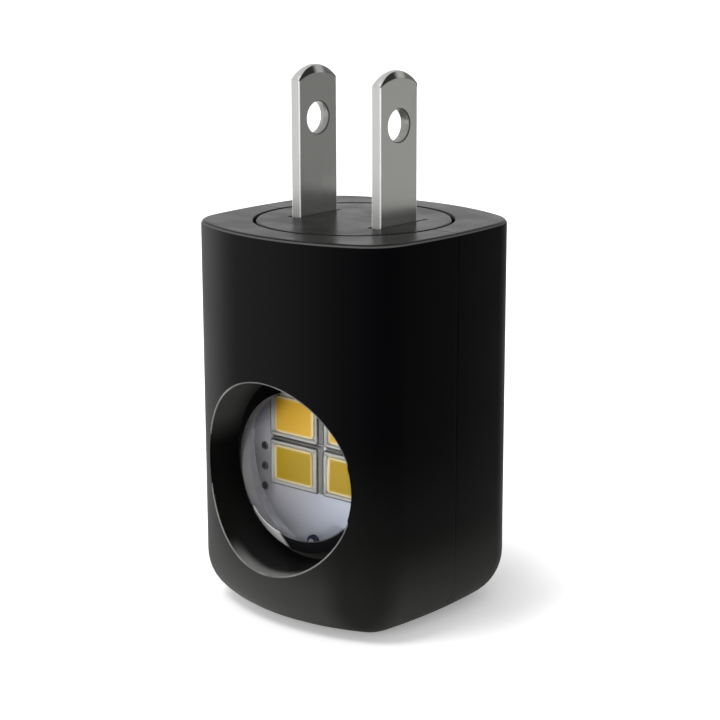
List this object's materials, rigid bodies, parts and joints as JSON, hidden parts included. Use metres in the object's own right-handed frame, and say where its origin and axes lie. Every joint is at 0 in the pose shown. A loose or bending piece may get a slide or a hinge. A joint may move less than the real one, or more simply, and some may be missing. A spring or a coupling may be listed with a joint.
{
  "type": "plug in night light",
  "caption": "Small upright night light with bowed sides, a turning flat-blade plug in one end and lights behind a clear lens in a deep round window.",
  "frame": {"origin": "middle of the bounding box's foot: the centre of the face opposite the plug", "axes": "+Z from the foot to the blades, -Y out of the window, +X from the neutral to the line blade"},
  "size_m": [0.0318, 0.0322, 0.0656],
  "materials": {
    "shell": "satin moulded black",
    "disc": "smooth moulded black",
    "clear_lens": "polished clear",
    "white_plastic": "moulded white",
    "white_board": "white solder mask",
    "led_body": "white moulded package",
    "phosphor": "yellow silicone",
    "sensor_dark": "dark tinted resin",
    "gold_pin": "thin gold plating",
    "black_resin": "moulded resin",
    "green_board": "green solder mask",
    "capacitor_sleeve": "printed sleeve",
    "red_epoxy": "dipped epoxy",
    "resistor_coat": "flameproof coat",
    "chip_ceramic": "ceramic",
    "copper": "etched copper",
    "lead_black": "insulated",
    "lead_white": "insulated",
    "solder": "bright solder",
    "ring_rubber": "matt rubber",
    "blade_nickel": "nickel plate on brass",
    "spring_bronze": "phosphor bronze strip",
    "rivet_steel": "plated"
  },
  "bodies": {
    "housing": {"front_shell": "shell", "rear_shell": "shell", "dome_lens": "clear_lens", "lens_holder": "white_plastic", "led_board": "white_board", "led_packages": "led_body", "led_phosphors": "phosphor", "light_sensor": "sensor_dark", "header_pins": "gold_pin", "header_strip": "black_resin", "driver_board": "green_board", "smoothing_capacitor": "capacitor_sleeve", "film_capacitor": "red_epoxy", "fuse_resistor": "resistor_coat", "bridge_rectifier": "black_resin", "driver_chip": "black_resin", "chip_resistors": "chip_ceramic", "contact_board": "green_board", "inner_track": "copper", "outer_track": "copper", "line_lead": "lead_black", "neutral_lead": "lead_white", "solder_joints": "solder"},
    "plug": {"plug_disc": "disc", "friction_ring": "ring_rubber", "line_blade": "blade_nickel", "neutral_blade": "blade_nickel", "line_brush": "spring_bronze", "neutral_brush": "spring_bronze", "brush_rivets": "rivet_steel"}
  },
  "joints": [
    {"name": "plug_swivel", "type": "hinge", "parent": "housing", "child": "plug", "pos_m": [0, 0, 0.0476], "axis": [0, 0, 1], "continuous": true}
  ]
}
